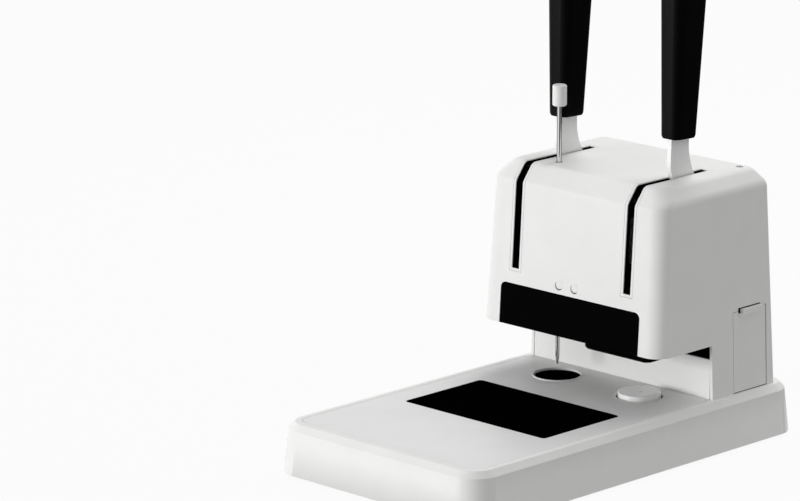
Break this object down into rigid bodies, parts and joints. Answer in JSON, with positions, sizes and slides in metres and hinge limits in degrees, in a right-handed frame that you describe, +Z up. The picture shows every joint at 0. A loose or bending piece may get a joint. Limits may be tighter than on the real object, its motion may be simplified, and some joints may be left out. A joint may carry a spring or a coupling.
{
  "type": "document riveting machine",
  "caption": "Two-lever desk machine that drills a stack of paper with a motor-driven hollow drill and closes a plastic rivet through it.",
  "frame": {"origin": "middle of the base's footprint, on the surface that the feet stand on", "axes": "+X to the user's right, +Y away from the user, +Z up"},
  "size_m": [0.2688, 0.4628, 0.4776],
  "materials": {
    "white_plastic": "fine satin moulding",
    "plate_grey": "fine satin",
    "dark_steel": "black powder coat",
    "steel": "zinc plated sheet",
    "bright_steel": "polished",
    "black_rubber": "matt",
    "black_gloss": "gloss",
    "black_plastic": "satin",
    "red_plastic": "gloss",
    "lens": "translucent",
    "brass": "turned",
    "white_metal": "powder coat",
    "aluminium": "milled",
    "motor_grey": "semi gloss"
  },
  "bodies": {
    "machine": {"base_shell": "white_plastic", "house_cover": "white_plastic", "rear_cover": "white_plastic", "column_front": "white_plastic", "left_slot_trim": "white_plastic", "right_slot_trim": "white_plastic", "storage_tube": "white_plastic", "rod_bush": "white_plastic", "work_plate": "plate_grey", "left_frame": "dark_steel", "right_frame": "dark_steel", "left_cheek": "dark_steel", "right_cheek": "dark_steel", "front_tie": "dark_steel", "rear_tie": "dark_steel", "top_plate": "dark_steel", "bottom_plate": "steel", "anvil_beam": "steel", "drill_pad_cup": "steel", "base_screws": "bright_steel", "rear_screws": "bright_steel", "lever_axles": "bright_steel", "guide_rods": "bright_steel", "seat_spring": "bright_steel", "drill_spring": "bright_steel", "rivet_spring": "bright_steel", "feet": "black_rubber", "instruction_panel": "black_gloss", "front_window": "black_gloss", "rivet_guard": "black_gloss", "drill_pad": "black_plastic", "underside_plate": "black_plastic", "mains_inlet": "black_plastic", "switch_frame": "black_plastic", "seat_guide": "black_plastic", "indicator_lenses": "lens", "lower_die": "brass"},
    "drill_lever": {"drill_lever": "white_metal", "drill_grip": "black_plastic"},
    "rivet_lever": {"rivet_lever": "white_metal", "rivet_grip": "black_plastic"},
    "drill_carriage": {"drill_carriage": "aluminium", "drill_rack": "steel", "drill_motor": "motor_grey", "spindle_bushes": "brass", "drive_belt": "black_rubber"},
    "spindle": {"spindle": "bright_steel", "spindle_pulley": "aluminium", "chuck_nut": "steel", "hollow_drill": "bright_steel"},
    "motor_rotor": {"motor_shaft": "bright_steel", "motor_pulley": "aluminium"},
    "clearing_rod": {"clearing_rod": "bright_steel", "rod_cap": "white_plastic"},
    "rivet_carriage": {"rivet_carriage": "aluminium", "rivet_rack": "steel", "upper_die": "brass"},
    "chip_drawer": {"chip_drawer": "white_plastic"},
    "rivet_seat": {"rivet_seat": "white_plastic"},
    "switch_rocker": {"switch_rocker": "red_plastic"}
  },
  "joints": [
    {"name": "drill_lever_swing", "type": "hinge", "parent": "machine", "child": "drill_lever", "pos_m": [-0.0726, 0.132, 0.184], "axis": [1, 0, 0], "range_deg": [0, 80], "stiffness_Nm_per_rad": 0.8, "springref_deg": -57.3},
    {"name": "drill_feed", "type": "slide", "parent": "machine", "child": "drill_carriage", "axis": [0, 0, -1], "range_m": [0, 0.0546], "deforming": ["drill_spring"]},
    {"name": "motor_spin", "type": "hinge", "parent": "drill_carriage", "child": "motor_rotor", "pos_m": [-0.022, 0.122, 0.2], "axis": [0, 0, 1], "continuous": true},
    {"name": "spindle_spin", "type": "hinge", "parent": "drill_carriage", "child": "spindle", "pos_m": [-0.0504, 0.0789, 0.2], "axis": [0, 0, 1], "continuous": true},
    {"name": "rivet_lever_swing", "type": "hinge", "parent": "machine", "child": "rivet_lever", "pos_m": [0.0726, 0.132, 0.184], "axis": [1, 0, 0], "range_deg": [0, 80], "stiffness_Nm_per_rad": 0.7, "springref_deg": -57.3},
    {"name": "rivet_feed", "type": "slide", "parent": "machine", "child": "rivet_carriage", "axis": [0, 0, -1], "range_m": [0, 0.0442], "deforming": ["rivet_spring"]},
    {"name": "rod_lift", "type": "slide", "parent": "machine", "child": "clearing_rod", "axis": [0, 0, 1], "range_m": [0, 0.19]},
    {"name": "drawer_slide", "type": "slide", "parent": "machine", "child": "chip_drawer", "axis": [1, 0, 0], "range_m": [0, 0.085]},
    {"name": "seat_press", "type": "slide", "parent": "machine", "child": "rivet_seat", "axis": [0, 0, -1], "range_m": [0, 0.0035], "stiffness_N_per_m": 800, "springref_m": -0.006, "deforming": ["seat_spring"]},
    {"name": "switch_tilt", "type": "hinge", "parent": "machine", "child": "switch_rocker", "pos_m": [-0.062, 0.20425, 0.134], "axis": [1, 0, 0], "range_deg": [0, 12]}
  ],
  "couplings": [
    {"joint": "drill_feed", "follows": "drill_lever_swing", "m_per_rad": 0.039},
    {"joint": "rivet_feed", "follows": "rivet_lever_swing", "m_per_rad": 0.0315},
    {"joint": "spindle_spin", "follows": "motor_spin", "ratio": 1.25}
  ]
}
